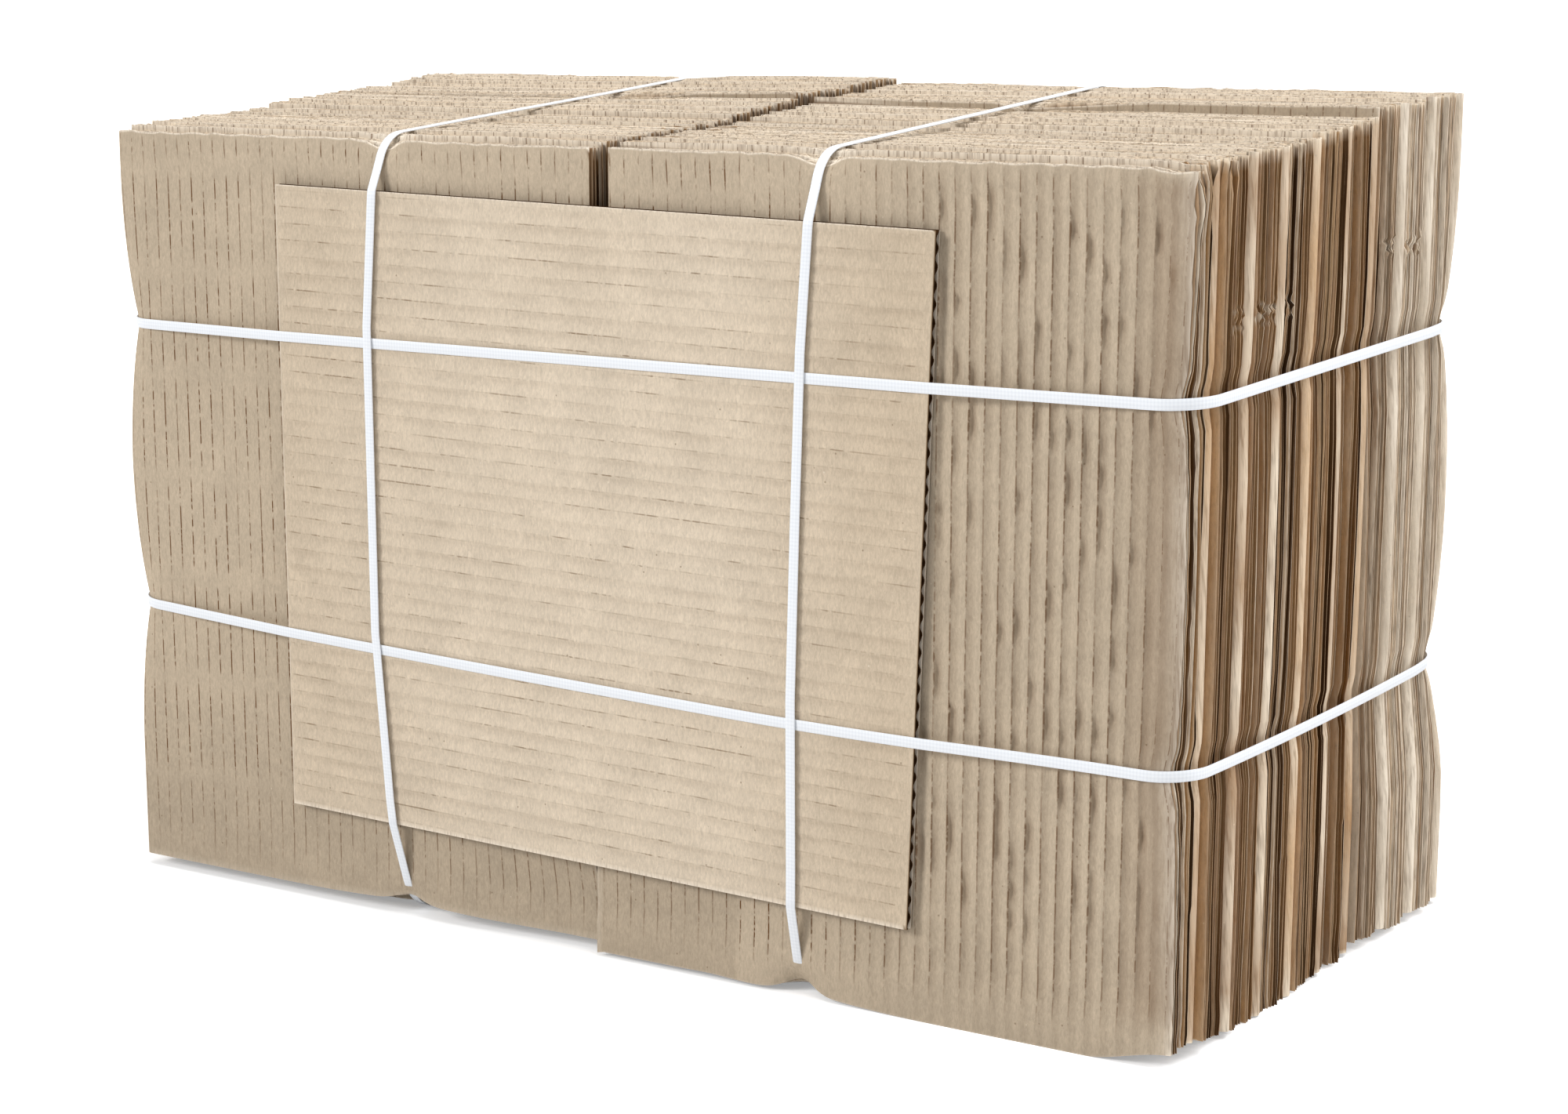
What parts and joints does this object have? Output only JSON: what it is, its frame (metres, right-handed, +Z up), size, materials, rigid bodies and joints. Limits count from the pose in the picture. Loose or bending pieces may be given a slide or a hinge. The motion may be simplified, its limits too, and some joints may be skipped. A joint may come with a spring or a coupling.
{
  "type": "stack of flattened boxes",
  "caption": "Bale of flattened corrugated boxes standing on edge, tied both ways with plastic straps over a loose front sheet of board.",
  "frame": {"origin": "middle of the bale's box on the floor it stands on", "axes": "+X to the right along the width of the boxes, +Y from the front sheet to the back, +Z up"},
  "size_m": [0.6228, 0.2854, 0.3852],
  "materials": {
    "corrugated_board": "matte",
    "pad_board": "matte",
    "strap": "satin"
  },
  "bodies": {
    "root": {"box_01": "corrugated_board", "box_02": "corrugated_board", "box_03": "corrugated_board", "box_04": "corrugated_board", "box_05": "corrugated_board", "box_06": "corrugated_board", "box_07": "corrugated_board", "box_08": "corrugated_board", "box_09": "corrugated_board", "box_10": "corrugated_board", "box_11": "corrugated_board", "box_12": "corrugated_board", "box_13": "corrugated_board", "box_14": "corrugated_board", "box_15": "corrugated_board", "box_16": "corrugated_board", "box_17": "corrugated_board", "box_18": "corrugated_board", "box_19": "corrugated_board", "box_20": "corrugated_board", "box_21": "corrugated_board", "box_22": "corrugated_board", "box_23": "corrugated_board", "box_24": "corrugated_board", "box_25": "corrugated_board", "box_26": "corrugated_board", "box_27": "corrugated_board", "box_28": "corrugated_board", "box_29": "corrugated_board", "box_30": "corrugated_board", "box_31": "corrugated_board", "box_32": "corrugated_board", "box_33": "corrugated_board", "box_34": "corrugated_board", "box_35": "corrugated_board", "front_pad": "pad_board", "lower_strap": "strap", "upper_strap": "strap", "left_strap": "strap", "right_strap": "strap"}
  },
  "joints": []
}
